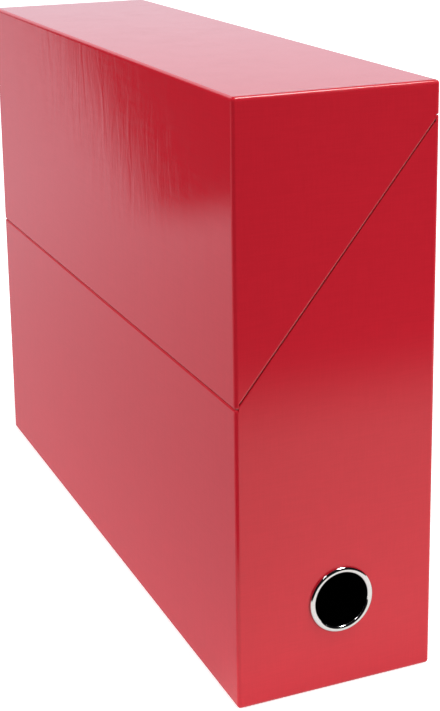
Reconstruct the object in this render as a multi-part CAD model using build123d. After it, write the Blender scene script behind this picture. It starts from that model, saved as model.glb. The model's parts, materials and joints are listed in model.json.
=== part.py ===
from build123d import *
import math
import os

# Document box: a tall covered-board box cut along a sloping line into a body and a hood lid.
# Frame: origin at the middle of the underside, Z up, Y along the long side, ring end at -Y.
# The lid's front flap is on -X and the hinge is on +X. All sizes are in millimetres.

# Overall size of the closed box
WIDTH = 90.0
LENGTH = 340.0
HEIGHT = 255.0

# Sheet stock
BOARD = 1.6
COVER = 0.2
LINING = 0.2
NECK_CARD = 1.0
HINGE_CLOTH = 0.2

# Rounding of the folded outer edges, and of the edges along the seams and creases
ARRIS = 1.6
CREASE = 0.45

# Lid: depth of its front flap and back strip, how much lower the sloping end cuts would meet
# the front face, and the gap left all along the seam
FRONT_FLAP = 124.0
BACK_STRIP = 14.0
END_STEP = 0.8
SEAM_GAP = 0.4

# Margins of the covering turned in over the seam edges, and how far the lining laps them
TURN_IN = 15.0
LINING_EDGE = 3.0

# Neck strips glued inside the body, which locate the lid
NECK_UP = 10.0
NECK_DOWN = 22.0
NECK_STOP = 13.0
NECK_CORNER = 6.0
NECK_GLUE = 0.1
NECK_HEADROOM = 3.0

# Hinge: pivot outside the back face, and the cloth strip folded into the joint
PIVOT_OUT = 0.1
CLOTH_BODY_FLAP = 13.0
CLOTH_LID_FLAP = 10.0
CLOTH_END = 4.0
CLOTH_FOLD_IN = 0.5

# Finger ring set in the ring end
RING_X = 2.0
RING_Z = 40.0
RING_HOLE_R = 12.0
RING_FLANGE_R = 14.5
RING_METAL = 0.4
RING_RISE = 1.4
RING_LIP = 1.1
RING_FIT = 0.1
WASHER = 0.5
WASHER_R = 14.0

# Values that follow from the sizes above
FRONT_SEAM = HEIGHT - FRONT_FLAP
BACK_SEAM = HEIGHT - BACK_STRIP
END_SEAM_LOW = FRONT_SEAM - END_STEP
PANEL = BOARD + COVER
LINER = COVER + LINING
HALF_X = WIDTH / 2
HALF_Y = LENGTH / 2
IN_X = HALF_X - PANEL
IN_Y = HALF_Y - PANEL
LINED_X = IN_X - LINER
LINED_Y = IN_Y - LINER
HALF_GAP = SEAM_GAP / 2
SLOPE = (BACK_SEAM - END_SEAM_LOW) / WIDTH
STEEP = math.hypot(1, SLOPE)
FRONT_TURN = TURN_IN
LID_LINING_EDGE = NECK_UP + NECK_HEADROOM
PIVOT = (HALF_X + PIVOT_OUT, 0, BACK_SEAM)


def block(x0, x1, y0, y1, z0, z1):
    """Rectangular solid between two corners."""
    centre = ((x0 + x1) / 2, (y0 + y1) / 2, (z0 + z1) / 2)
    return Pos(*centre) * Box(x1 - x0, y1 - y0, z1 - z0)


def prism(corners, y0, y1):
    """Solid with an X-Z outline between two Y positions."""
    face = Plane.XZ * Polygon(*corners, align=None)
    return Pos(0, y1, 0) * extrude(face, y1 - y0)


def envelope(inset):
    """The closed box as one rounded solid, drawn in by the inset on every side."""
    solid = block(inset - HALF_X, HALF_X - inset, inset - HALF_Y, HALF_Y - inset, inset, HEIGHT - inset)
    return fillet(solid.edges(), ARRIS - inset)


def end_seam(x, rise=0.0):
    """Height of the sloping end cut at x, moved square to the cut by rise."""
    return END_SEAM_LOW + (x + HALF_X) * SLOPE + rise * STEEP


def soften(solid, z, inset):
    """Rounds the outer edges of a sleeve panel along its level seam edge at z."""
    rim = [edge for edge in solid.edges() if on_rim(edge, z, inset)]
    return fillet(rim, CREASE - inset)


def on_rim(edge, z, inset):
    """Whether an edge lies in the level z and on the rounded outer side of the box."""
    box = edge.bounding_box()
    if abs(box.min.Z - z) > 1e-4 or abs(box.max.Z - z) > 1e-4:
        return False
    mid = edge @ 0.5
    side = HALF_X - inset
    end = HALF_Y - inset
    on_side = abs(abs(mid.X) - side) < 1e-4 or abs(abs(mid.Y) - end) < 1e-4
    on_arc = abs(mid.X) > side - ARRIS + inset and abs(mid.Y) > end - ARRIS + inset
    return on_side or on_arc


def wall_panel(sign, z0, z1, seam, inset):
    """Covered front (-1) or back (1) panel drawn in by the inset, rounded at its seam edge."""
    low = z0 + inset if seam == z0 else z0
    high = z1 - inset if seam == z1 else z1
    inner, outer = sorted((sign * IN_X, sign * HALF_X))
    solid = block(inner, outer, -HALF_Y, HALF_Y, low, high) & envelope(inset)
    return soften(solid, low if seam == z0 else high, inset)


def turned_in(sign, z0, z1):
    """Margin of the covering glued to the inner face of the front (-1) or back (1)."""
    near, far = sorted((sign * IN_X, sign * (IN_X - COVER)))
    return block(near, far, -IN_Y, IN_Y, z0, z1)


def end_outline(inset, low, high):
    """X-Z outline of an end panel; low and high give each side's height from x."""
    side = IN_X - inset
    return [(-side, low(-side)), (side, low(side)), (side, high(side)), (-side, high(-side))]


def body_end_heights(inset):
    """Bottom and sloping top of a body end panel."""
    return (lambda x: PANEL + inset), (lambda x: end_seam(x, -HALF_GAP - inset))


def lid_end_heights(inset):
    """Sloping bottom and level top of a lid cheek."""
    return (lambda x: end_seam(x, HALF_GAP + inset)), (lambda x: HEIGHT - PANEL - inset)


def end_panel(sign, heights, inset):
    """Covered end panel at the ring end (-1) or rear end (1), drawn in by the inset."""
    low, high = heights(inset)
    near, far = sorted((sign * IN_Y, sign * (HALF_Y - inset)))
    solid = prism(end_outline(inset, low, high), near, far)
    outer = solid.faces().sort_by(Axis.Y)[0 if sign < 0 else -1]
    return fillet(outer.edges(), CREASE - inset)


def end_strip(sign, low, high, depth0, depth1, side):
    """Flat sheet inside an end, between two depths from the panel's inner face."""
    near, far = sorted((sign * (IN_Y - depth0), sign * (IN_Y - depth1)))
    outline = [(-side, low(-side)), (side, low(side)), (side, high(side)), (-side, high(-side))]
    return prism(outline, near, far)


def bore(radius):
    """Cylinder along Y through the ring end at the finger ring."""
    tube = Cylinder(radius, 12 * PANEL, rotation=(90, 0, 0))
    return Pos(RING_X, -HALF_Y, RING_Z) * tube


def covered_end(sign, heights, turn_low, turn_high):
    """Board and covering of one end panel, with the margin turned in over the sloping edge."""
    board = end_panel(sign, heights, COVER)
    margin = end_strip(sign, turn_low, turn_high, 0, COVER, LINED_X)
    cover = end_panel(sign, heights, 0) - board + margin
    return board, cover


def body_base():
    """Base board with its covering sheet, and the lining laid on it."""
    board = block(-HALF_X, HALF_X, -HALF_Y, HALF_Y, 0, PANEL) & envelope(COVER)
    whole = block(-HALF_X, HALF_X, -HALF_Y, HALF_Y, 0, PANEL) & envelope(0)
    lining = block(-LINED_X, LINED_X, -LINED_Y, LINED_Y, PANEL, PANEL + LINING)
    return {"base_board": board, "base_cover": whole - board, "base_lining": lining}


def body_wall(sign, name, seam_height, lining_top):
    """Front or back board of the body with its covering and lining."""
    top = seam_height - HALF_GAP
    board = wall_panel(sign, PANEL, top, top, COVER)
    margin = turned_in(sign, top - FRONT_TURN, top)
    cover = wall_panel(sign, PANEL, top, top, 0) - board + margin
    near, far = sorted((sign * IN_X, sign * LINED_X))
    lining = block(near, far, -IN_Y, IN_Y, PANEL, lining_top) - margin
    return {name + "_board": board, name + "_cover": cover, name + "_lining": lining}


def body_end(sign, name):
    """Ring end or rear end of the body: board, covering and lining, all with a sloping top."""
    high = lambda x: end_seam(x, -HALF_GAP)
    low = lambda x: end_seam(x, -HALF_GAP - TURN_IN)
    board, cover = covered_end(sign, body_end_heights, low, high)
    top = lambda x: end_seam(x, -HALF_GAP - LINING_EDGE)
    lining = end_strip(sign, lambda x: PANEL, top, 0, LINER, LINED_X)
    lining -= end_strip(sign, low, high, 0, COVER, LINED_X)
    pieces = {name + "_board": board, name + "_cover": cover, name + "_lining": lining}
    if sign > 0:
        return pieces
    hole = bore(RING_HOLE_R + RING_METAL + RING_FIT)
    return {key: piece - hole for key, piece in pieces.items()}


def neck_strips():
    """Three card strips glued inside the body that stand above the seam."""
    face = LINED_X - NECK_GLUE
    end_face = LINED_Y - NECK_GLUE
    front = block(-face, NECK_CARD - face, -end_face, end_face, FRONT_SEAM - NECK_DOWN, FRONT_SEAM + NECK_UP)
    x0 = NECK_CARD - face
    x1 = face - NECK_STOP
    outline = [
        (x0, end_seam(x0, -NECK_DOWN)),
        (x1, end_seam(x1, -NECK_DOWN)),
        (x1, end_seam(x1, NECK_UP)),
        (x0, end_seam(x0, NECK_UP)),
    ]
    pieces = {"front_neck_strip": front}
    for sign, name in ((-1, "ring_end_neck_strip"), (1, "rear_end_neck_strip")):
        near, far = sorted((sign * end_face, sign * (end_face - NECK_CARD)))
        strip = prism(outline, near, far)
        corner = strip.edges().filter_by(Axis.Y).sort_by(Axis.Z)[-1]
        pieces[name] = fillet(corner, NECK_CORNER)
    return pieces


def finger_ring():
    """Rolled metal eyelet through the ring end, with the washer that it is set over."""
    wall = PANEL + LINER
    back = wall + WASHER
    hole = RING_HOLE_R
    tube = hole + RING_METAL
    rim = RING_FLANGE_R
    mid = (hole + rim) / 2
    crown = ThreePointArc((hole, -RING_METAL), (mid, -RING_RISE), (rim, -RING_METAL))
    under = ThreePointArc((rim - RING_METAL, -RING_METAL / 2), (mid, RING_METAL - RING_RISE), (tube, -RING_METAL / 2))
    lip = hole + RING_METAL + RING_LIP
    outline = [
        crown,
        Polyline((rim, -RING_METAL), (rim, 0), (rim - RING_METAL, 0), (rim - RING_METAL, -RING_METAL / 2)),
        under,
        Polyline((tube, -RING_METAL / 2), (tube, back), (lip, back), (lip, back + RING_METAL / 2)),
        ThreePointArc((lip, back + RING_METAL / 2), ((hole + lip) / 2, back + RING_METAL), (hole, back)),
        Line((hole, back), (hole, -RING_METAL)),
    ]
    face = make_face(Curve() + outline)
    ring = revolve(face, Axis.Y)
    disc = Pos(0, wall + WASHER / 2, 0) * (
        Cylinder(WASHER_R, WASHER, rotation=(90, 0, 0))
        - Cylinder(tube + RING_FIT, 2 * WASHER, rotation=(90, 0, 0))
    )
    place = Pos(RING_X, -HALF_Y, RING_Z)
    return {"finger_ring": place * ring, "ring_washer": place * disc}


def lid_sleeve_region(inset):
    """Front flap, top and back strip of the lid as one bent sheet drawn in by the inset."""
    top = block(-HALF_X, HALF_X, -HALF_Y, HALF_Y, HEIGHT - PANEL, HEIGHT)
    front_low = FRONT_SEAM + HALF_GAP
    back_low = BACK_SEAM + HALF_GAP
    middle = HEIGHT - PANEL
    front = wall_panel(-1, front_low, middle, front_low, inset)
    back = wall_panel(1, back_low, middle, back_low, inset)
    return top & envelope(inset), front, back


def lid_sleeve():
    """The lid's three sleeve boards and the single covering sheet bent round them."""
    top, front, back = lid_sleeve_region(COVER)
    whole_top, whole_front, whole_back = lid_sleeve_region(0)
    front_low = FRONT_SEAM + HALF_GAP
    back_low = BACK_SEAM + HALF_GAP
    cover = whole_top + whole_front + whole_back - top - front - back
    cover += turned_in(-1, front_low, front_low + FRONT_TURN)
    cover += turned_in(1, back_low, back_low + CLOTH_LID_FLAP)
    return {"lid_top_board": top, "lid_front_board": front, "lid_back_board": back, "lid_cover": cover}


def lid_linings():
    """Lining sheets under the lid's top and inside its front flap."""
    under = HEIGHT - PANEL - LINER
    top = block(-LINED_X, LINED_X, -LINED_Y, LINED_Y, under, HEIGHT - PANEL)
    low = FRONT_SEAM + HALF_GAP
    front = block(-IN_X, -LINED_X, -IN_Y, IN_Y, low + LID_LINING_EDGE, HEIGHT - PANEL)
    front -= turned_in(-1, low, low + FRONT_TURN)
    return {"lid_top_lining": top, "lid_front_lining": front}


def lid_cheek(sign, name):
    """Sloping cheek of the lid at one end: board, covering and lining."""
    board = end_panel(sign, lid_end_heights, COVER)
    margin = cheek_strip(sign, HALF_GAP, HALF_GAP + TURN_IN, COVER)
    cover = end_panel(sign, lid_end_heights, 0) - board + margin
    lining = cheek_strip(sign, HALF_GAP + LID_LINING_EDGE, 2 * HEIGHT, LINER) - margin
    return {name + "_board": board, name + "_cover": cover, name + "_lining": lining}


def cheek_strip(sign, rise0, rise1, depth):
    """Sheet inside a lid cheek between two distances above the sloping cut."""
    side = LINED_X
    band = [
        (-side, end_seam(-side, rise0)),
        (side, end_seam(side, rise0)),
        (side, end_seam(side, rise1)),
        (-side, end_seam(-side, rise1)),
    ]
    near, far = sorted((sign * IN_Y, sign * (IN_Y - depth)))
    return prism(band, near, far) & block(-side, side, -HALF_Y, HALF_Y, 0, HEIGHT - PANEL)


def hinge_cloth():
    """Cloth strip glued inside the back and the lid's back strip, folded into the joint."""
    end = IN_Y - LINER - CLOTH_END
    inner = IN_X - COVER - HINGE_CLOTH
    flap_low = BACK_SEAM - HALF_GAP - CLOTH_BODY_FLAP
    flap_high = BACK_SEAM + HALF_GAP + CLOTH_LID_FLAP
    flap = block(inner, IN_X - COVER, -end, end, flap_low, flap_high)
    fold = block(inner, HALF_X - CLOTH_FOLD_IN, -end, end, BACK_SEAM - HALF_GAP, BACK_SEAM + HALF_GAP)
    return {"hinge_cloth": flap + fold}


def build():
    """All pieces of the closed box by name."""
    pieces = body_base()
    pieces.update(body_wall(-1, "front", FRONT_SEAM, FRONT_SEAM - HALF_GAP - LINING_EDGE))
    pieces.update(body_wall(1, "back", BACK_SEAM, BACK_SEAM - HALF_GAP - CLOTH_BODY_FLAP))
    pieces.update(body_end(-1, "ring_end"))
    pieces.update(body_end(1, "rear_end"))
    pieces.update(neck_strips())
    pieces.update(finger_ring())
    pieces.update(lid_sleeve())
    pieces.update(lid_linings())
    pieces.update(lid_cheek(-1, "lid_ring_cheek"))
    pieces.update(lid_cheek(1, "lid_rear_cheek"))
    pieces.update(hinge_cloth())
    return pieces


def main():
    """Writes one file per piece and prints the hinge line."""
    os.makedirs("parts", exist_ok=True)
    for name, solid in build().items():
        export_step(solid, os.path.join("parts", name + ".step"))
    print("lid pivot", PIVOT)


main()
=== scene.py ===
"""Looks of the red document box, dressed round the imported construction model."""

import json
import logging
import math
from dataclasses import dataclass
from enum import Enum
from typing import Callable, Iterable, Sequence

import bmesh
import bpy
from mathutils import Euler, Matrix, Vector


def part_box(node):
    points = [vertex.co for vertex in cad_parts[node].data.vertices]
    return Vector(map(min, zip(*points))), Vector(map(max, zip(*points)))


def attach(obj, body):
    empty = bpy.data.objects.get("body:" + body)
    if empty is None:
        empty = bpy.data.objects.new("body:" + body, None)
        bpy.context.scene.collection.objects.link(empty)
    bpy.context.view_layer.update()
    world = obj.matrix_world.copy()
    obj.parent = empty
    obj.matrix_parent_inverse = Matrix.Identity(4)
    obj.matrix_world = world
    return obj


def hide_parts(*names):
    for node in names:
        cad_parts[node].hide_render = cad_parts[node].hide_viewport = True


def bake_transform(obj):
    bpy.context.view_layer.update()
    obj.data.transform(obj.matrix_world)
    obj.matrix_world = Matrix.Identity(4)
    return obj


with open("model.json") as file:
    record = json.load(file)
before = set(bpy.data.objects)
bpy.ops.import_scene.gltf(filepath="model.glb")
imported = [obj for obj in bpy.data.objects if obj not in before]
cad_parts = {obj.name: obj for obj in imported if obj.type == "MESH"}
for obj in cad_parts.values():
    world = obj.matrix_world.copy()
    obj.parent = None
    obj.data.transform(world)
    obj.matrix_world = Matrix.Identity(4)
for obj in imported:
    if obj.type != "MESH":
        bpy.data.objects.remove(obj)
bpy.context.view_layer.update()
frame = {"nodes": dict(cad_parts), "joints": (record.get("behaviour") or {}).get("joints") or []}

LOG = logging.getLogger("document_box")

Point = tuple[float, float, float]
Colour = tuple[float, float, float]
Spot = tuple[float, float]
Limits = tuple[float, float]
Test = Callable[[object], bool]
Piece = bpy.types.Object
Socket = bpy.types.NodeSocket
Edge = bmesh.types.BMEdge
Face = bmesh.types.BMFace

MM = 0.001
TOUCH = 0.01  # millimetres: places closer than this count as one
WELD = 0.02  # millimetres: a sheet's points closer than this are merged
FACING = 0.9  # least share of a face's normal along the way that it looks
SQUARE_ON = 0.99  # the same for a face that looks straight along it
BEVEL_STEPS = 3
BLACK = (0.0, 0.0, 0.0)
WHITE = (1.0, 1.0, 1.0)


class End(Enum):
    """The two short ends of the box."""

    RING = -1
    REAR = 1


class Half(Enum):
    """The two bodies of the box, by which way their closed side faces."""

    BODY = -1
    LID = 1


# Modelling by hand: selection and operators


class Bench:
    """Adds primitives and shapes them in edit mode with operators, in millimetres."""

    @staticmethod
    def clear() -> None:
        """Leaves edit mode and deselects everything."""
        if bpy.context.object and bpy.context.object.mode != "OBJECT":
            bpy.ops.object.mode_set(mode="OBJECT")
        bpy.ops.object.select_all(action="DESELECT")

    @staticmethod
    def activate(piece: Piece) -> None:
        """Selects a piece alone, in object mode.

        Args:
            piece: the mesh object.
        """
        Bench.clear()
        piece.select_set(True)
        bpy.context.view_layer.objects.active = piece

    @staticmethod
    def box(name: str, low: Point, high: Point) -> Piece:
        """Adds a block between two corners given in millimetres.

        Args:
            name: the piece's name.
            low: lowest corner.
            high: highest corner.

        Returns:
            The new object, at the origin, with its place in its mesh.
        """
        Bench.clear()
        centre = [(a + b) / 2 for a, b in zip(low, high)]
        span = [b - a for a, b in zip(low, high)]
        bpy.ops.mesh.primitive_cube_add(size=1, location=centre, scale=span)
        return Bench.settle(name)

    @staticmethod
    def settle(name: str) -> Piece:
        """Names the active object and moves its place into its mesh.

        Args:
            name: the piece's name.

        Returns:
            The active object.
        """
        piece = bpy.context.object
        piece.name = name
        piece.data.name = name
        bpy.ops.object.transform_apply(location=True, rotation=True, scale=True)
        return piece

    @staticmethod
    def edit(piece: Piece) -> None:
        """Opens a piece in edit mode with nothing selected.

        Args:
            piece: the mesh object.
        """
        Bench.activate(piece)
        bpy.ops.object.mode_set(mode="EDIT")
        bpy.ops.mesh.select_mode(type="EDGE")
        bpy.ops.mesh.select_all(action="DESELECT")

    @staticmethod
    def pick(piece: Piece, kind: str, test: Test) -> None:
        """Selects faces or edges of a piece in edit mode by a test.

        Args:
            piece: the mesh object, in edit mode.
            kind: "FACE" or "EDGE".
            test: says whether an element is wanted.
        """
        bpy.ops.mesh.select_mode(type=kind)
        bpy.ops.mesh.select_all(action="DESELECT")
        mesh = bmesh.from_edit_mesh(piece.data)
        pool = {"FACE": mesh.faces, "EDGE": mesh.edges}[kind]
        for item in [item for item in pool if test(item)]:
            item.select_set(True)
        bmesh.update_edit_mesh(piece.data)

    @staticmethod
    def pick_all() -> None:
        """Selects all of the piece that is in edit mode."""
        bpy.ops.mesh.select_all(action="SELECT")

    @staticmethod
    def bisect(
        point: Point, normal: Point, fill: bool = False, above: bool = False, below: bool = False
    ) -> None:
        """Cuts what is selected where a plane crosses it.

        Args:
            point: a point of the plane in millimetres.
            normal: the plane's normal.
            fill: whether the cut is closed with a face.
            above: whether the side that the normal points to goes.
            below: whether the other side goes.
        """
        bpy.ops.mesh.bisect(
            plane_co=point, plane_no=normal, use_fill=fill, clear_outer=above, clear_inner=below
        )

    @staticmethod
    def bevel(piece: Piece, radius: float, steps: int, test: Test) -> None:
        """Rounds the edges that pass a test.

        Args:
            piece: the mesh object, in edit mode.
            radius: rounding radius in millimetres.
            steps: number of segments.
            test: says whether an edge is rounded.
        """
        Bench.pick(piece, "EDGE", test)
        bpy.ops.mesh.bevel(offset=radius, offset_type="OFFSET", segments=steps, affect="EDGES")

    @staticmethod
    def drop(piece: Piece, test: Test) -> None:
        """Deletes the faces that pass a test.

        Args:
            piece: the mesh object, in edit mode.
            test: says whether a face goes.
        """
        Bench.pick(piece, "FACE", test)
        bpy.ops.mesh.delete(type="FACE")

    @staticmethod
    def extrude(piece: Piece, kind: str, shift: Point, test: Test) -> None:
        """Extrudes the faces or edges that pass a test.

        Args:
            piece: the mesh object, in edit mode.
            kind: "FACE" or "EDGE".
            shift: how far they go, in millimetres.
            test: says whether an element is extruded.
        """
        Bench.pick(piece, kind, test)
        bpy.ops.mesh.extrude_region_move(TRANSFORM_OT_translate={"value": shift})

    @staticmethod
    def finish_sheet(piece: Piece, thickness: float, faces_out: Test) -> None:
        """Gives an open sheet its thickness on the inner side.

        Args:
            piece: the mesh object, in edit mode, its outer side modelled.
            thickness: the sheet's thickness in millimetres.
            faces_out: says whether the sheet's largest face faces out.
        """
        bpy.ops.mesh.select_mode(type="FACE")
        Bench.pick_all()
        bpy.ops.mesh.remove_doubles(threshold=WELD)
        bpy.ops.mesh.normals_make_consistent(inside=False)
        mesh = bmesh.from_edit_mesh(piece.data)
        largest = max(mesh.faces, key=lambda face: face.calc_area())
        if not faces_out(largest):
            bpy.ops.mesh.flip_normals()
        Bench.modify(piece, "SOLIDIFY", thickness=thickness, offset=-1.0, use_even_offset=True)

    @staticmethod
    def modify(piece: Piece, kind: str, **settings: object) -> None:
        """Adds a modifier with its settings and applies it.

        Args:
            piece: the mesh object.
            kind: the modifier's type.
            settings: values set on the modifier.
        """
        Bench.activate(piece)
        modifier = piece.modifiers.new(kind.title(), kind)
        for key, value in settings.items():
            setattr(modifier, key, value)
        bpy.ops.object.modifier_apply(modifier=modifier.name)

    @staticmethod
    def to_metres(piece: Piece) -> None:
        """Brings a piece modelled in millimetres to its size in metres.

        Args:
            piece: the mesh object.
        """
        Bench.activate(piece)
        piece.scale = (MM, MM, MM)
        bpy.ops.object.transform_apply(location=True, rotation=True, scale=True)

    @staticmethod
    def smooth(piece: Piece, degrees: float = 40.0) -> None:
        """Shades a piece smooth except across sharp folds.

        Args:
            piece: the mesh object.
            degrees: folds sharper than this stay sharp.
        """
        Bench.activate(piece)
        bpy.ops.object.shade_smooth_by_angle(angle=math.radians(degrees))
        Bench.modify(piece, "WEIGHTED_NORMAL", mode="FACE_AREA", weight=80, keep_sharp=True)


# Node groups and finishes


class Nodes:
    """Short ways to add and link shader nodes in a tree."""

    def __init__(self, tree: bpy.types.NodeTree) -> None:
        """Starts with an empty tree.

        Args:
            tree: the node tree to fill.
        """
        self.tree = tree
        tree.nodes.clear()

    def link(self, source: Socket, target: Socket) -> None:
        """Links two sockets.

        Args:
            source: an output.
            target: an input.
        """
        self.tree.links.new(source, target)

    def feed(self, target: Socket, value: object) -> None:
        """Links a socket to an input, or sets the input's value.

        Args:
            target: the input.
            value: an output to link, or a plain value.
        """
        if isinstance(value, Socket):
            self.link(value, target)
        else:
            target.default_value = value

    def add(self, kind: str, **settings: object) -> bpy.types.Node:
        """Adds a node and feeds its inputs.

        Args:
            kind: the node's type without the ShaderNode prefix.
            settings: a socket or a value for each input, by its lower-case name.

        Returns:
            The new node.
        """
        prefix = "" if kind.startswith("Node") else "ShaderNode"
        node = self.tree.nodes.new(prefix + kind)
        inputs = {socket.name.lower().replace(" ", "_"): socket for socket in node.inputs}
        for key, value in settings.items():
            self.feed(inputs[key], value)
        return node

    def operate(self, kind: str, operation: str, values: Iterable[object]) -> Socket:
        """Adds a node that is set by its operation.

        Args:
            kind: the node's type without the ShaderNode prefix.
            operation: its operation.
            values: sockets or values for its inputs, in order.

        Returns:
            Its first output.
        """
        node = self.add(kind)
        node.operation = operation
        for target, value in zip(node.inputs, values):
            self.feed(target, value)
        return node.outputs[0]

    def math(self, operation: str, *values: object) -> Socket:
        """Adds a Math node.

        Args:
            operation: its operation.
            values: sockets or numbers for its inputs.

        Returns:
            Its output.
        """
        return self.operate("Math", operation, values)

    def vector(self, operation: str, *values: object) -> Socket:
        """Adds a Vector Math node.

        Args:
            operation: its operation.
            values: sockets or vectors for its inputs.

        Returns:
            Its first output.
        """
        return self.operate("VectorMath", operation, values)

    def average(self, first: Socket, second: Socket, share: float) -> Socket:
        """Adds up two values by their shares.

        Args:
            first: first value.
            second: second value.
            share: the first value's share. The second has the rest.

        Returns:
            The weighted sum.
        """
        one = self.math("MULTIPLY", first, share)
        other = self.math("MULTIPLY", second, 1.0 - share)
        return self.math("ADD", one, other)

    def mix(self, amount: Socket, low: Colour | Socket, high: Colour | Socket) -> Socket:
        """Mixes two colours.

        Args:
            amount: share of the second colour.
            low: first colour.
            high: second colour.

        Returns:
            The mixed colour.
        """
        node = self.add("Mix")
        node.data_type = "RGBA"
        factor, first, second = node.inputs[0], node.inputs[6], node.inputs[7]
        self.feed(factor, amount)
        for target, colour in ((first, low), (second, high)):
            self.feed(target, colour if isinstance(colour, Socket) else (*colour, 1.0))
        return node.outputs[2]

    def ramp(self, value: Socket, limits: Limits) -> Socket:
        """Smoothly maps a value between two limits to 0 to 1.

        Args:
            value: the value.
            limits: where the output is 0, and where it is 1.

        Returns:
            The mapped value.
        """
        node = self.add("MapRange")
        node.interpolation_type = "SMOOTHSTEP"
        for target, setting in zip(node.inputs, (value, *limits)):
            self.feed(target, setting)
        return node.outputs[0]

    def noise(
        self, where: Socket, stretch: Point, detail: float = 2.0, distortion: float = 0.0
    ) -> Socket:
        """Adds a noise whose density differs along the three axes.

        Args:
            where: the coordinates.
            stretch: features per unit of the coordinates along each axis.
            detail: octaves.
            distortion: how far the features are bent.

        Returns:
            The noise value, about 0 to 1.
        """
        node = self.add(
            "TexNoise",
            vector=self.vector("MULTIPLY", where, stretch),
            scale=1.0,
            detail=detail,
            roughness=0.55,
            distortion=distortion,
        )
        return node.outputs[0]

    def group(self, tree: bpy.types.NodeTree, where: Socket, **values: object) -> bpy.types.Node:
        """Places a shared group.

        Args:
            tree: the group.
            where: the coordinates for its Vector input.
            values: sockets or numbers for its other inputs by name.

        Returns:
            The group node.
        """
        node = self.add("Group")
        node.node_tree = tree
        for key, value in {"Vector": where, **values}.items():
            self.feed(node.inputs[key], value)
        return node


def make_group(
    name: str, inputs: Sequence[tuple[str, str]], outputs: Sequence[str]
) -> tuple[Nodes, bpy.types.Node, bpy.types.Node]:
    """Starts a shader node group with named sockets.

    Args:
        name: the group's name.
        inputs: name and socket type of each input.
        outputs: name of each output, which is a number.

    Returns:
        The group's nodes, its input node and its output node.
    """
    tree = bpy.data.node_groups.new(name, "ShaderNodeTree")
    for title, kind in inputs:
        tree.interface.new_socket(name=title, in_out="INPUT", socket_type=kind)
    for title in outputs:
        tree.interface.new_socket(name=title, in_out="OUTPUT", socket_type="NodeSocketFloat")
    nodes = Nodes(tree)
    return nodes, nodes.add("NodeGroupInput"), nodes.add("NodeGroupOutput")


def linen_grain_group() -> bpy.types.NodeTree:
    """Height and tone of a fine cross-woven linen grain pressed into paper or cloth.

    Returns:
        The node group: inputs Vector and Threads per metre, outputs Height and Tone.
    """
    nodes, source, sink = make_group(
        "linen_grain",
        [("Vector", "NodeSocketVector"), ("Threads", "NodeSocketFloat")],
        ["Height", "Tone"],
    )
    along, slub, tone_limits = 0.05, 0.16, (0.36, 0.64)
    where = nodes.vector("SCALE", source.outputs["Vector"])
    nodes.link(source.outputs["Threads"], where.node.inputs["Scale"])
    level = nodes.noise(where, (along, along, 1.0), 1.5)
    upright = nodes.noise(where, (1.0, 1.0, along), 1.5)
    slubs = nodes.noise(where, (slub, slub, slub), 3.0)
    height = nodes.average(nodes.average(level, upright, 0.5), slubs, 0.8)
    nodes.link(height, sink.inputs["Height"])
    nodes.link(nodes.ramp(height, tone_limits), sink.inputs["Tone"])
    return nodes.tree


def slow_waves_group() -> bpy.types.NodeTree:
    """Height of the slow unevenness of pasted covering: upright streaks over broad swells.

    Returns:
        The node group: inputs Vector and Streaks, the streaks' strength, output Height.
    """
    nodes, source, sink = make_group(
        "slow_waves",
        [("Vector", "NodeSocketVector"), ("Streaks", "NodeSocketFloat")],
        ["Height"],
    )
    where = source.outputs["Vector"]
    streaks = nodes.noise(where, (95.0, 95.0, 26.0), 2.5, distortion=0.7)
    swells = nodes.noise(where, (9.0, 9.0, 7.0), 1.0)
    streaks = nodes.math("MULTIPLY", streaks, source.outputs["Streaks"])
    nodes.link(nodes.average(streaks, swells, 0.35), sink.inputs["Height"])
    return nodes.tree


class Shared:
    """The node groups that every finish places."""

    linen: bpy.types.NodeTree
    waves: bpy.types.NodeTree

    @classmethod
    def make(cls) -> None:
        """Builds each group once."""
        cls.linen = linen_grain_group()
        cls.waves = slow_waves_group()


@dataclass(frozen=True)
class Finish:
    """A named surface: its colours, gloss and grain.

    Grain and swell are the depths in millimetres of the linen grain and of the slow waves,
    and threads is the number of threads per metre.
    """

    name: str
    colour: Colour
    shade: Colour
    roughness: float
    grain: float
    threads: float
    swell: float
    metallic: float = 0.0
    gloss_spread: float = 0.06
    cloud: float = 14.0

    def material(self) -> bpy.types.Material:
        """Builds the finish as a node material.

        Returns:
            The material.
        """
        material = bpy.data.materials.new(self.name)
        material.use_nodes = True
        nodes = Nodes(material.node_tree)
        where = nodes.add("TexCoord").outputs["Object"]
        normal = nodes.add("NewGeometry").outputs["Normal"]
        across = nodes.add("SeparateXYZ", vector=normal).outputs[0]
        linen = nodes.group(Shared.linen, where, Threads=self.threads)
        waves = nodes.group(Shared.waves, where, Streaks=nodes.math("ABSOLUTE", across))
        threads, middle = linen.outputs["Tone"], self.roughness + self.gloss_spread / 2
        cloudy = nodes.noise(where, (self.cloud, self.cloud, self.cloud), 3.0)
        colour = nodes.mix(nodes.average(threads, cloudy, 0.6), self.shade, self.colour)
        rough = nodes.math("MULTIPLY_ADD", threads, -self.gloss_spread, middle)
        fine = self.bump(nodes, linen, self.grain)
        broad = self.bump(nodes, waves, self.swell, normal=fine)
        shader = nodes.add(
            "BsdfPrincipled",
            base_color=colour,
            roughness=rough,
            metallic=self.metallic,
            normal=broad,
        )
        nodes.add("OutputMaterial", surface=shader.outputs[0])
        return material

    @staticmethod
    def bump(nodes: Nodes, relief: bpy.types.Node, depth: float, **settings: Socket) -> Socket:
        """Bends the surface's normal by a group's height.

        Args:
            nodes: the material's nodes.
            relief: the group node.
            depth: how deep the relief is, in millimetres.
            settings: the normal that it starts from, if not the surface's own.

        Returns:
            The bent normal.
        """
        height = relief.outputs["Height"]
        node = nodes.add("Bump", height=height, strength=1.0, distance=depth * MM, **settings)
        return node.outputs[0]


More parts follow.
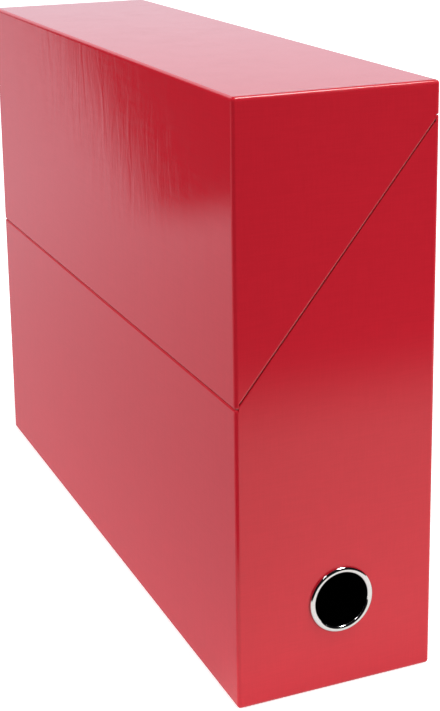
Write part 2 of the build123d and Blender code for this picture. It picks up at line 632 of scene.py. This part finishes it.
@dataclass(frozen=True)
class Finishes:
    """Every finish on the box."""

    paper: Finish = Finish(
        name="varnished_red_linen_paper",
        colour=(0.58, 0.0165, 0.0310),
        shade=(0.53, 0.0145, 0.0275),
        roughness=0.11,
        grain=0.010,
        threads=1500.0,
        swell=0.20,
    )
    lining: Finish = Finish(
        name="black_lining_paper",
        colour=(0.020, 0.020, 0.022),
        shade=(0.014, 0.014, 0.016),
        roughness=0.62,
        grain=0.006,
        threads=2200.0,
        swell=0.10,
    )
    card: Finish = Finish(
        name="black_neck_card",
        colour=(0.026, 0.026, 0.028),
        shade=(0.018, 0.018, 0.020),
        roughness=0.55,
        grain=0.008,
        threads=1800.0,
        swell=0.08,
    )
    board: Finish = Finish(
        name="grey_board",
        colour=(0.34, 0.32, 0.29),
        shade=(0.26, 0.245, 0.22),
        roughness=0.9,
        grain=0.03,
        threads=900.0,
        swell=0.10,
    )
    nickel: Finish = Finish(
        name="polished_nickel",
        colour=(0.80, 0.80, 0.81),
        shade=(0.74, 0.74, 0.75),
        roughness=0.07,
        grain=0.0008,
        threads=900.0,
        swell=0.01,
        metallic=1.0,
    )
    steel: Finish = Finish(
        name="plated_steel",
        colour=(0.56, 0.56, 0.57),
        shade=(0.50, 0.50, 0.51),
        roughness=0.26,
        grain=0.002,
        threads=1200.0,
        swell=0.01,
        metallic=1.0,
    )
    cloth: Finish = Finish(
        name="red_book_cloth",
        colour=(0.42, 0.011, 0.020),
        shade=(0.33, 0.008, 0.015),
        roughness=0.55,
        grain=0.05,
        threads=1300.0,
        swell=0.05,
    )


# Pieces of the box


@dataclass(frozen=True)
class BoxSizes:
    """Sizes of the closed box in millimetres.

    Those without a value are read off the construction model.
    """

    half_x: float
    half_y: float
    height: float
    panel: float
    paper: float
    front_seam: float
    back_seam: float
    arris: float = 1.6
    front_crease: float = 0.9
    lid_crease: float = 1.1
    end_crease: float = 0.4
    end_step: float = 0.8
    half_gap: float = 0.08
    hinge_gap: float = 0.2
    turn_in: float = 15.0
    lid_back_turn: float = 10.0
    end_turn: float = 4.0

    @classmethod
    def from_frame(cls) -> "BoxSizes":
        """Reads the sizes off the construction model's nodes and its hinge.

        Returns:
            The sizes.
        """
        base_top = cls.corners("base_cover")[1]
        lid_low, lid_top = cls.corners("lid_cover")
        front_top = cls.corners("front_cover")[1]
        return cls(
            half_x=base_top[0],
            half_y=base_top[1],
            height=lid_top[2],
            panel=base_top[2],
            paper=cls.corners("base_board")[0][2],
            front_seam=(front_top[2] + lid_low[2]) / 2,
            back_seam=cls.millimetres(frame["joints"][0]["pos_m"])[2],
        )

    @staticmethod
    def millimetres(place: Iterable[float]) -> Point:
        """Turns a place in metres into whole thousandths of a millimetre.

        Args:
            place: the place.

        Returns:
            The place in millimetres.
        """
        return tuple(round(value / MM, 3) for value in place)

    @classmethod
    def corners(cls, node: str) -> tuple[Point, Point]:
        """Reads where a construction node lies.

        Args:
            node: the node's name.

        Returns:
            Its lowest and its highest corner in millimetres.
        """
        low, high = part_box(node)
        return cls.millimetres(low), cls.millimetres(high)

    @property
    def end_seam_low(self) -> float:
        """Height at which the end cut would meet the front face."""
        return self.front_seam - self.end_step

    @property
    def slope(self) -> float:
        """Rise of the end cut per millimetre of width."""
        return (self.back_seam - self.end_seam_low) / (2 * self.half_x)

    @property
    def steep(self) -> float:
        """Height per millimetre square to the end cut."""
        return math.hypot(1, self.slope)

    def end_seam(self, x: float, rise: float = 0.0) -> float:
        """Height of the end cut.

        Args:
            x: place across the width.
            rise: how far the line is moved square to the cut.

        Returns:
            The height.
        """
        return self.end_seam_low + (x + self.half_x) * self.slope + rise * self.steep


@dataclass(frozen=True)
class Sleeve:
    """The covering bent round front, closed side and back of one half."""

    sizes: BoxSizes
    half: Half
    name: str
    replaced: tuple[str, ...]

    def build(self) -> Piece:
        """Models the sheet with its turned-in margins.

        Returns:
            The finished piece.
        """
        s = self.sizes
        way = self.half.value
        lid = self.half is Half.LID
        front = s.front_seam + way * s.half_gap
        back = s.back_seam + way * s.hinge_gap
        closed = s.height if lid else 0.0
        near = s.half_x - s.panel
        inner = closed - way * s.panel
        walls = (
            (-1, front, s.lid_crease if lid else s.front_crease, s.turn_in),
            (1, back, s.end_crease, s.lid_back_turn if lid else s.turn_in),
        )
        piece = self._three_panels(front, back, closed, near, inner)
        Bench.bevel(piece, s.arris, 2 * BEVEL_STEPS, self._outer_edge(closed))
        for side, level, crease, _ in walls:
            Bench.bevel(piece, crease, BEVEL_STEPS, self._seam_edge(side, level, near))
        Bench.drop(piece, self._inner_face(near, inner))
        for side, level, _, margin in walls:
            self._turn(piece, side, level, near, margin)
        Bench.finish_sheet(piece, s.paper, self._faces_out)
        Bench.to_metres(piece)
        Bench.smooth(piece)
        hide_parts(*self.replaced)
        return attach(piece, "lid" if lid else "body")

    def _three_panels(
        self, front: float, back: float, closed: float, near: float, inner: float
    ) -> Piece:
        """Extrudes the front panel on into the closed panel and the back panel.

        Args:
            front: height of the front panel's seam face.
            back: height of the back panel's seam face.
            closed: height of the closed side.
            near: half the distance between the wall panels.
            inner: height of the inner side of the closed panel.

        Returns:
            The bent solid, in edit mode.
        """
        s = self.sizes
        way = self.half.value
        low, high = sorted((front, closed))

        def closed_side(face: Face) -> bool:
            """Whether a face looks along the closed panel that starts there."""
            past = (face.calc_center_median().z - inner) * way
            return face.normal.x > FACING and past > 0

        def far_side(face: Face) -> bool:
            """Whether a face is where the back panel's thickness starts."""
            return face.normal.x > FACING and face.calc_center_median().x > 0

        def under_back(face: Face) -> bool:
            """Whether a face is where the back panel starts to go down, or up."""
            return face.normal.z * way < -FACING and face.calc_center_median().x > near

        piece = Bench.box(self.name, (-s.half_x, -s.half_y, low), (-near, s.half_y, high))
        Bench.edit(piece)
        Bench.pick_all()
        Bench.bisect((0, 0, inner), (0, 0, 1))
        Bench.extrude(piece, "FACE", (2 * near, 0, 0), closed_side)
        Bench.extrude(piece, "FACE", (s.panel, 0, 0), far_side)
        Bench.extrude(piece, "FACE", (0, 0, back - inner), under_back)
        return piece

    def _outer_edge(self, closed: float) -> Test:
        """Says which edges of the starting solid are outer corners of the box.

        Args:
            closed: height of the closed side.

        Returns:
            The test for an edge.
        """
        s = self.sizes

        def is_outer(edge: Edge) -> bool:
            """Whether an edge lies on two outer faces or more."""
            x, y, z = (edge.verts[0].co + edge.verts[1].co) / 2
            depths = (s.half_x - abs(x), s.half_y - abs(y), abs(z - closed))
            return sum(depth < TOUCH for depth in depths) > 1

        return is_outer

    @staticmethod
    def _seam_edge(side: int, level: float, near: float) -> Test:
        """Says which edges are the outer rim of one wall's seam face.

        Args:
            side: -1 front, 1 back.
            level: height of the seam face.
            near: half the distance between the wall panels.

        Returns:
            The test for an edge.
        """

        def is_rim(edge: Edge) -> bool:
            """Whether an edge lies on the seam face, but not on its inner side."""
            places = [vert.co for vert in edge.verts]
            if any(abs(co.z - level) > TOUCH or side * co.x < near - TOUCH for co in places):
                return False
            return not all(abs(side * co.x - near) < TOUCH for co in places)

        return is_rim

    @staticmethod
    def _inner_face(near: float, inner: float) -> Test:
        """Says which faces of the solid lie against the inside of the panels.

        Args:
            near: half the distance between the wall panels.
            inner: height of the inner side of the closed panel.

        Returns:
            The test for a face.
        """

        def is_inner(face: Face) -> bool:
            """Whether a face is the inside of a wall or of the closed panel."""
            x, _, z = face.calc_center_median()
            upright = abs(face.normal.x) > FACING and abs(abs(x) - near) < TOUCH
            return upright or (abs(face.normal.z) > FACING and abs(z - inner) < TOUCH)

        return is_inner

    def _turn(self, piece: Piece, side: int, level: float, near: float, margin: float) -> None:
        """Turns the margin of one wall in over its seam edge, between the end panels.

        Args:
            piece: the sheet, in edit mode.
            side: -1 front, 1 back.
            level: height of the seam edge.
            near: half the distance between the wall panels.
            margin: how far the covering is turned in.
        """
        s = self.sizes
        reach = s.half_y - s.panel

        def seam_face(face: Face) -> bool:
            """Whether a face is part of this wall's seam face."""
            x, _, z = face.calc_center_median()
            return abs(face.normal.z) > FACING and abs(z - level) < TOUCH and side * x > 0

        def rim_at(distance: float) -> Test:
            """Says which edges run along the seam at a distance from the middle."""
            return lambda edge: all(
                abs(vert.co.z - level) < TOUCH
                and abs(side * vert.co.x - distance) < TOUCH
                and abs(vert.co.y) < reach + TOUCH
                for vert in edge.verts
            )

        for end in (-reach, reach):
            Bench.pick(piece, "FACE", seam_face)
            Bench.bisect((0, end, 0), (0, 1, 0))
        Bench.extrude(piece, "EDGE", (-side * s.paper, 0, 0), rim_at(near))
        shift = (0, 0, self.half.value * margin)
        Bench.extrude(piece, "EDGE", shift, rim_at(near - s.paper))

    def _faces_out(self, face: Face) -> bool:
        """Whether a face points away from the middle of the box."""
        middle = Vector((0, 0, self.sizes.height / 2))
        return (face.calc_center_median() - middle).dot(face.normal) > 0


@dataclass(frozen=True)
class FingerRing:
    """The rolled metal eyelet in the ring end, in millimetres."""

    sizes: BoxSizes
    x: float = 2.0
    z: float = 40.0
    hole: float = 12.0
    metal: float = 0.4
    rim: float = 14.5
    rise: float = 1.4
    shoulder: float = 0.35
    seat: float = 0.01
    lip: float = 1.1
    depth: float = 2.7
    fit: float = 0.1
    weld: float = 0.004
    sides: int = 160
    bore_sides: int = 128
    crown_steps: int = 14
    under_steps: int = 10

    @property
    def bore(self) -> float:
        """Radius of the hole in the covering."""
        return self.hole + self.metal + self.fit

    def profile(self) -> list[Spot]:
        """Outline of the rolled section.

        Returns:
            Radius and depth behind the outer face of each point, going round once.
        """
        tube = self.hole + self.metal
        middle = (self.hole + self.rim) / 2
        half = (self.rim - self.hole) / 2
        crown = self.arch(middle, -half, self.shoulder, self.rise, self.crown_steps)
        edge = [
            (self.rim, -0.12),
            (self.rim - 0.1, -self.seat),
            (self.rim - self.metal, -self.seat),
        ]
        base = self.metal / 2
        under = self.arch(middle, half - self.metal, base, self.rise - self.metal, self.under_steps)
        back = self.depth
        lip = tube + self.lip
        set_lip = [
            (tube, back - 0.05),
            (lip, back + 0.02),
            (lip, back + 0.25),
            (tube + 0.3, back + 0.45),
            (self.hole, back + 0.3),
        ]
        return crown + edge + under + set_lip

    @staticmethod
    def arch(middle: float, half: float, base: float, top: float, steps: int) -> list[Spot]:
        """Points along half an ellipse that stands out from the outer face.

        Args:
            middle: radius of its middle.
            half: half its width, negative where it goes outwards.
            base: how far its ends stand out.
            top: how far its crown stands out.
            steps: number of steps.

        Returns:
            Radius and depth of each point.
        """
        angles = [math.pi * i / steps for i in range(steps + 1)]
        return [
            (middle + half * math.cos(angle), -base - (top - base) * math.sin(angle))
            for angle in angles
        ]

    def build(self) -> Piece:
        """Models the ring by drawing a circle along its section.

        Returns:
            The finished piece.
        """
        face = -self.sizes.half_y
        points = self.profile()
        radius, depth = points[0]
        Bench.clear()
        bpy.ops.mesh.primitive_circle_add(
            vertices=self.sides,
            radius=radius,
            location=(self.x, face + depth, self.z),
            rotation=(math.pi / 2, 0, 0),
        )
        piece = Bench.settle("finger_ring_metal")
        Bench.edit(piece)
        Bench.pick_all()
        for (r0, d0), (r1, d1) in zip(points, points[1:] + points[:1]):
            shift = (0, d1 - d0, 0)
            bpy.ops.mesh.extrude_region_move(TRANSFORM_OT_translate={"value": shift})
            centre = (self.x, face + d1, self.z)
            bpy.ops.transform.resize(value=(r1 / r0, 1, r1 / r0), center_override=centre)
        Bench.pick_all()
        bpy.ops.mesh.remove_doubles(threshold=self.weld)
        bpy.ops.mesh.normals_make_consistent(inside=False)
        Bench.to_metres(piece)
        Bench.smooth(piece, degrees=50.0)
        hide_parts("finger_ring")
        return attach(piece, "body")

    def punch(self, sheet: Piece) -> None:
        """Cuts the ring's round hole into the covering.

        Args:
            sheet: the covering, with its thickness, in millimetres.
        """
        Bench.clear()
        bpy.ops.mesh.primitive_cylinder_add(
            vertices=self.bore_sides,
            radius=self.bore,
            depth=8 * self.sizes.panel,
            location=(self.x, -self.sizes.half_y, self.z),
            rotation=(math.pi / 2, 0, 0),
        )
        tool = bpy.context.object
        Bench.modify(sheet, "BOOLEAN", operation="DIFFERENCE", object=tool, solver="EXACT")
        bpy.data.objects.remove(tool)


@dataclass(frozen=True)
class EndPanel:
    """The covering of one end panel, above or below the sloping cut.

    Where it has a ring, the ring's hole is cut through it.
    """

    sizes: BoxSizes
    half: Half
    end: End
    name: str
    replaced: str
    ring: FingerRing | None = None

    def build(self) -> Piece:
        """Models the sheet, wrapped round the panel's edges.

        Returns:
            The finished piece.
        """
        s = self.sizes
        way, side = self.half.value, self.end.value
        lid = self.half is Half.LID
        near = s.half_x - s.panel
        inner_y, outer_y = side * (s.half_y - s.panel), side * s.half_y
        low_y, high_y = sorted((inner_y, outer_y))
        piece = Bench.box(self.name, (-near, low_y, s.panel), (near, high_y, s.height - s.panel))
        point = Vector((0.0, 0.0, s.end_seam(0.0, way * s.half_gap)))
        square = Vector((-s.slope, 0.0, 1.0)).normalized()
        Bench.edit(piece)
        Bench.pick_all()
        Bench.bisect(point, square, fill=True, above=not lid, below=lid)
        crease = s.lid_crease if lid else s.end_crease
        Bench.bevel(piece, crease, BEVEL_STEPS, self._cut_edge(point, square, outer_y))
        Bench.drop(piece, lambda face: side * face.normal.y < -FACING)
        self._turn_in(piece, point, square * way, inner_y)
        Bench.finish_sheet(piece, s.paper, lambda face: side * face.normal.y > 0)
        if self.ring:
            self.ring.punch(piece)
        Bench.to_metres(piece)
        Bench.smooth(piece)
        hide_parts(self.replaced)
        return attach(piece, "lid" if lid else "body")

    @staticmethod
    def _cut_edge(point: Vector, square: Vector, level: float) -> Test:
        """Says which edges lie on the outer face's sloping cut.

        Args:
            point: a point on the cut.
            square: the direction square to the cut.
            level: the outer face's place in Y.

        Returns:
            The test for an edge.
        """
        return lambda edge: all(
            abs((vert.co - point).dot(square)) < TOUCH and abs(vert.co.y - level) < TOUCH
            for vert in edge.verts
        )

    def _turn_in(self, piece: Piece, point: Vector, inward: Vector, level: float) -> None:
        """Turns the margin in along the sloping edge, between the front and back.

        Args:
            piece: the sheet, in edit mode.
            point: a point on the cut.
            inward: direction from the cut into the panel.
            level: the panel's inner face in Y.
        """
        s = self.sizes
        reach = s.half_x - s.panel - s.paper
        lift = -self.end.value * s.paper

        def rim_at(depth: float) -> Test:
            """Says which edges run along the cut at a place in Y."""
            return lambda edge: all(
                abs((vert.co - point).dot(inward)) < 2 * TOUCH
                and abs(vert.co.y - depth) < 2 * TOUCH
                and abs(vert.co.x) < reach + TOUCH
                for vert in edge.verts
            )

        def on_margin(face: Face) -> bool:
            """Whether a face is the turned-in margin."""
            return all(abs(vert.co.y - level - lift) < TOUCH for vert in face.verts)

        for end in (-reach, reach):
            Bench.pick(piece, "FACE", lambda face: face.normal.dot(inward) < -SQUARE_ON)
            Bench.bisect((end, 0, 0), (1, 0, 0))
        Bench.extrude(piece, "EDGE", (0, lift, 0), rim_at(level))
        margin = s.turn_in if self.half is Half.LID else -s.end_turn
        Bench.extrude(piece, "EDGE", (0, 0, margin * s.steep), rim_at(level + lift))
        Bench.pick(piece, "FACE", on_margin)
        Bench.bisect((0, 0, s.height - s.panel), (0, 0, 1), above=True)


@dataclass(frozen=True)
class HingeFold:
    """The cloth strip folded into the back joint, in millimetres."""

    sizes: BoxSizes
    end: float = 163.8
    body_flap: float = 13.0
    lid_flap: float = 10.0
    thickness: float = 0.15
    clear: float = 0.02
    leg_clear: float = 0.03
    bend: float = 0.3
    fold_in: float = 0.5
    tip_in: float = 0.22
    tip_rise: float = 0.1
    bend_reach: float = 0.03

    def section(self) -> list[Spot]:
        """Follows the cloth from its end on the body to its end on the lid.

        Returns:
            Place across the width and height of each point.
        """
        s = self.sizes
        inner = s.half_x - s.panel - s.paper - self.clear
        leg = s.hinge_gap - self.leg_clear

        def leaf(flap: float) -> list[Spot]:
            """Place of each point of one leaf, and its distance from the joint."""
            return [
                (inner, leg + flap),
                (inner, leg + self.bend),
                (inner + self.bend, leg),
                (s.half_x - self.fold_in, leg),
                (s.half_x - self.bend, self.tip_rise),
            ]

        on_body = [(x, s.back_seam - away) for x, away in leaf(self.body_flap)]
        on_lid = [(x, s.back_seam + away) for x, away in leaf(self.lid_flap)]
        return on_body + [(s.half_x - self.tip_in, s.back_seam)] + on_lid[::-1]

    def build(self) -> Piece:
        """Models the strip along its section, folded into the joint between body and lid.

        Returns:
            The finished piece.
        """
        path = self.section()
        Bench.clear()
        bpy.ops.mesh.primitive_plane_add(size=1)
        piece = Bench.settle("hinge_cloth_fold")
        Bench.edit(piece)
        Bench.pick_all()
        bpy.ops.mesh.delete(type="ONLY_FACE")
        Bench.pick(piece, "EDGE", lambda edge: all(vert.co.x < 0 for vert in edge.verts))
        bpy.ops.mesh.select_all(action="INVERT")
        bpy.ops.mesh.delete(type="EDGE")
        x, z = path[0]
        for vert in bmesh.from_edit_mesh(piece.data).verts:
            vert.co = Vector((x, math.copysign(self.end, vert.co.y), z))
        bmesh.update_edit_mesh(piece.data)
        bpy.ops.mesh.select_mode(type="EDGE")
        Bench.pick_all()
        for (x0, z0), (x1, z1) in zip(path, path[1:]):
            shift = (x1 - x0, 0, z1 - z0)
            bpy.ops.mesh.extrude_region_move(TRANSFORM_OT_translate={"value": shift})
        Bench.finish_sheet(piece, self.thickness, lambda face: face.normal.x < 0)
        Bench.to_metres(piece)
        Bench.smooth(piece)
        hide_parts("hinge_cloth")
        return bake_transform(piece)


# Stage


@dataclass(frozen=True)
class Camera:
    """The camera of the photograph: place in metres, turn in degrees about X, Y and Z."""

    focal: float = 77.2098
    shift_y: float = -0.20969
    place: Point = (-0.265689, -0.683810, 0.351082)
    turn: Point = (76.170468, 0.804798, -22.965835)
    nearest: float = 0.01

    def build(self) -> None:
        """Sets the camera up."""
        data = bpy.data.cameras.new("camera")
        data.lens = self.focal
        data.sensor_fit = "AUTO"
        data.shift_y = self.shift_y
        data.clip_start = self.nearest
        camera = bpy.data.objects.new("camera", data)
        bpy.context.scene.collection.objects.link(camera)
        turn = Euler([math.radians(angle) for angle in self.turn])
        camera.matrix_world = Matrix.LocRotScale(Vector(self.place), turn, None)
        bpy.context.scene.camera = camera


@dataclass(frozen=True)
class Floor:
    """The pale floor, white to the camera, that glows for glossy rays with a painted reflection.

    Each pair of limits is where a soft edge begins and where it ends, in metres, or in
    square metres for the horizon.
    """

    size: float = 24.0
    flecks: tuple[Colour, Colour] = ((0.93, 0.93, 0.93), (0.95, 0.95, 0.95))
    fleck_density: Point = (3.0, 3.0, 3.0)
    unlit: Colour = (0.05, 0.05, 0.05)
    near_glow: Colour = (0.5, 0.5, 0.5)
    # Painted reflection: colours that the floor glows with for glossy rays only. They are dark past
    # the sheet, bright before the box, and darker beside the box, growing lighter farther back.
    painted_reflection_past_sheet: Colour = (0.006, 0.005, 0.005)
    painted_reflection_before_box: Colour = (1.02, 0.98, 0.93)
    painted_reflection_beside_box: tuple[Colour, Colour] = ((0.44, 0.44, 0.47), (0.68, 0.68, 0.75))
    lean: float = 0.249
    # Soft edges of the bright sheet: they bound the lit paper and the painted reflection's bright
    # share.
    sheet_front: Limits = (-0.56, -0.40)
    sheet_side: Limits = (-0.180, -0.124)
    far_dark: Limits = (0.53, 0.71)
    # Painted shade at the box's foot: the painted reflection is dimmed round the box's near corner.
    foot_shade_x: Limits = (-0.045, -0.030)
    foot_shade_y: Limits = (-0.165, -0.145)
    foot_shade_out: Limits = (-0.42, -0.34)
    beside_from: Limits = (-0.22, -0.12)
    beside_rise: Limits = (0.0, 0.9)
    horizon: Limits = (0.4, 2.0)

    def build(self) -> None:
        """Adds the floor to the stage."""
        Bench.clear()
        bpy.ops.mesh.primitive_plane_add(size=self.size, location=(0, 0, 0))
        floor = Bench.settle("pale_floor")
        floor.data.materials.append(self.material())

    def material(self) -> bpy.types.Material:
        """Builds the floor's material: white for the camera, a painted reflection for glossy rays.

        Returns:
            The material.
        """
        material = bpy.data.materials.new("pale_floor")
        material.use_nodes = True
        nodes = Nodes(material.node_tree)
        where = nodes.add("TexCoord").outputs["Object"]
        parts = nodes.add("SeparateXYZ", vector=where)
        x, y = parts.outputs[0], parts.outputs[1]
        path = nodes.add("LightPath")
        seen, mirrored = path.outputs["Is Camera Ray"], path.outputs["Is Glossy Ray"]
        paper, sheet = self._sheet(nodes, x, y)
        white = nodes.mix(nodes.noise(where, self.fleck_density), *self.flecks)
        lit = nodes.mix(nodes.math("MAXIMUM", seen, paper), self.unlit, white)
        beside = nodes.mix(nodes.ramp(y, self.beside_rise), *self.painted_reflection_beside_box)
        painted_reflection_glow = nodes.mix(nodes.ramp(y, self.beside_from), self.painted_reflection_before_box, beside)
        # painted reflection: what glossy rays see of the floor, bright on the sheet and dark past
        # it
        painted_reflection = nodes.mix(sheet, self.painted_reflection_past_sheet, painted_reflection_glow)
        away = nodes.math("ADD", nodes.math("MULTIPLY", x, x), nodes.math("MULTIPLY", y, y))
        shown = nodes.mix(nodes.ramp(away, self.horizon), self.near_glow, WHITE)
        shader = nodes.add(
            "BsdfPrincipled",
            base_color=nodes.mix(mirrored, lit, BLACK),
            roughness=0.85,
            specular_ior_level=0.0,
            emission_strength=1.0,
            # the floor glows with the painted reflection for glossy rays only
            emission_color=nodes.mix(mirrored, nodes.mix(seen, BLACK, shown), painted_reflection),
        )
        nodes.add("OutputMaterial", surface=shader.outputs[0])
        return material

    def _sheet(self, nodes: Nodes, x: Socket, y: Socket) -> tuple[Socket, Socket]:
        """Says where the floor is lit paper and where its painted reflection is bright.

        Args:
            nodes: the material's nodes.
            x: place across the box's width.
            y: place along its length.

        Returns:
            The share that is lit paper, and the share where the painted reflection is bright, less
            the painted shade at the box's foot.
        """
        front = nodes.ramp(y, self.sheet_front)
        inside = nodes.ramp(nodes.math("MULTIPLY_ADD", y, self.lean, x), self.sheet_side)
        outside = nodes.math("SUBTRACT", 1.0, inside)
        dark = nodes.math("MULTIPLY", outside, nodes.ramp(y, self.far_dark))
        bright = nodes.math("MULTIPLY", front, nodes.math("SUBTRACT", 1.0, dark))
        # painted shade at the box's foot: the bright share dims near the box's corner
        right = nodes.ramp(x, self.foot_shade_x)
        behind = nodes.ramp(y, self.foot_shade_y)
        close = nodes.ramp(nodes.math("ADD", x, y), self.foot_shade_out)
        clear_of_painted_foot_shade = nodes.math("MAXIMUM", nodes.math("MAXIMUM", right, behind), close)
        return nodes.math("MULTIPLY", front, inside), nodes.math("MULTIPLY", bright, clear_of_painted_foot_shade)


@dataclass(frozen=True)
class Studio:
    """White round the camera's view, a soft room light, and a studio for reflections.

    Each pair of limits is where a soft edge begins and where it ends, in parts of a
    direction of length 1.
    """

    room: Colour = (0.46, 0.46, 0.46)
    walls: Colour = (0.006, 0.006, 0.007)
    backdrop: Colour = (0.94, 0.94, 1.04)
    lean: float = 0.3
    backdrop_side: Limits = (-0.06, 0.1)
    backdrop_top: Limits = (0.5, 0.62)
    backdrop_far: Limits = (0.0, 0.3)

    def build(self) -> None:
        """Makes the world."""
        world = bpy.data.worlds.new("studio")
        bpy.context.scene.world = world
        world.use_nodes = True
        nodes = Nodes(world.node_tree)
        way = nodes.add("TexCoord").outputs["Generated"]
        x, y, z = nodes.add("SeparateXYZ", vector=way).outputs
        behind = nodes.ramp(nodes.math("MULTIPLY_ADD", y, self.lean, x), self.backdrop_side)
        low = nodes.math("SUBTRACT", 1.0, nodes.ramp(z, self.backdrop_top))
        far = nodes.ramp(y, self.backdrop_far)
        share = nodes.math("MULTIPLY", nodes.math("MULTIPLY", behind, low), far)
        path = nodes.add("LightPath")
        studio = nodes.mix(share, self.walls, self.backdrop)
        room = nodes.mix(path.outputs["Is Glossy Ray"], self.room, studio)
        seen = nodes.mix(path.outputs["Is Camera Ray"], room, WHITE)
        back = nodes.add("Background", color=seen, strength=1.0)
        nodes.add("OutputWorld", surface=back.outputs[0])


@dataclass(frozen=True)
class Lamp:
    """A square softbox: place, aim and side in metres, power in watts.

    Glossy surfaces show it only where it is mirrored.
    """

    name: str
    place: Point
    side: float
    power: float
    mirrored: bool
    aim: Point = (0.0, 0.0, 0.13)

    def build(self) -> None:
        """Adds the lamp, unseen by the camera."""
        data = bpy.data.lights.new(self.name, "AREA")
        data.size = self.side
        data.energy = self.power
        lamp = bpy.data.objects.new(self.name, data)
        bpy.context.scene.collection.objects.link(lamp)
        place = Vector(self.place)
        turn = (Vector(self.aim) - place).to_track_quat("-Z", "Y")
        lamp.matrix_world = Matrix.LocRotScale(place, turn, None)
        lamp.visible_camera = False
        lamp.visible_glossy = self.mirrored


LAMPS = (
    Lamp("left_softbox", (-1.7, 0.35, 0.65), side=1.0, power=23.5, mirrored=False),
    Lamp("right_softbox", (1.1, -1.7, 0.9), side=1.0, power=17.0, mirrored=False),
    Lamp("top_softbox", (0.75, -0.6, 1.9), side=0.6, power=20.0, mirrored=True),
    Lamp("high_lamp", (-0.95, -0.65, 1.75), side=0.35, power=3.0, mirrored=True),
)


def set_stage() -> None:
    """Sets up camera, floor, surroundings, lamps and the view transform."""
    for part in (Camera(), Floor(), Studio(), *LAMPS):
        part.build()
    bpy.context.scene.view_settings.view_transform = "Standard"


# Dressing and assembly


class DocumentBox:
    """The whole box: its sheets, ring and hinge, and the nodes kept from construction."""

    def __init__(self, finishes: Finishes) -> None:
        """Reads the sizes and makes the materials.

        Args:
            finishes: every finish on the box.
        """
        self.sizes = BoxSizes.from_frame()
        self.ring = FingerRing(self.sizes)
        self.paper = finishes.paper.material()
        self.lining = finishes.lining.material()
        self.card = finishes.card.material()
        self.board = finishes.board.material()
        self.nickel = finishes.nickel.material()
        self.steel = finishes.steel.material()
        self.cloth = finishes.cloth.material()

    def dress(self, piece: Piece, material: bpy.types.Material) -> None:
        """Gives a piece its one material and names its finish.

        Args:
            piece: the piece.
            material: its material.
        """
        piece.data.materials.clear()
        piece.data.materials.append(material)
        LOG.info("dressed %s with %s", piece.name, material.name)

    def sheets(self) -> list[Sleeve | EndPanel]:
        """Lists the covering's sheets.

        Returns:
            Each sheet, ready to build.
        """
        s, body, lid = self.sizes, Half.BODY, Half.LID
        round_body = ("front_cover", "base_cover", "back_cover")
        return [
            Sleeve(s, body, "body_wrap", round_body),
            Sleeve(s, lid, "lid_wrap", ("lid_cover",)),
            EndPanel(s, body, End.RING, "ring_end_sheet", "ring_end_cover", self.ring),
            EndPanel(s, body, End.REAR, "rear_end_sheet", "rear_end_cover"),
            EndPanel(s, lid, End.RING, "lid_ring_cheek_sheet", "lid_ring_cheek_cover"),
            EndPanel(s, lid, End.REAR, "lid_rear_cheek_sheet", "lid_rear_cheek_cover"),
        ]

    def build(self) -> None:
        """Builds the new pieces and dresses the kept nodes."""
        for sheet in self.sheets():
            self.dress(sheet.build(), self.paper)
        self.dress(self.ring.build(), self.nickel)
        self.dress(HingeFold(self.sizes).build(), self.cloth)
        self.dress_nodes()

    def dress_nodes(self) -> None:
        """Gives each construction node that still shows its finish."""
        by_ending = {
            "_board": self.board,
            "_lining": self.lining,
            "_neck_strip": self.card,
            "_washer": self.steel,
        }
        for name, node in frame["nodes"].items():
            for ending, material in by_ending.items():
                if name.endswith(ending):
                    self.dress(node, material)


def main() -> None:
    """Builds the stage and the box."""
    logging.basicConfig(level=logging.INFO, format="%(name)s %(message)s")
    set_stage()
    Shared.make()
    DocumentBox(Finishes()).build()


if __name__ == "__main__":
    main()
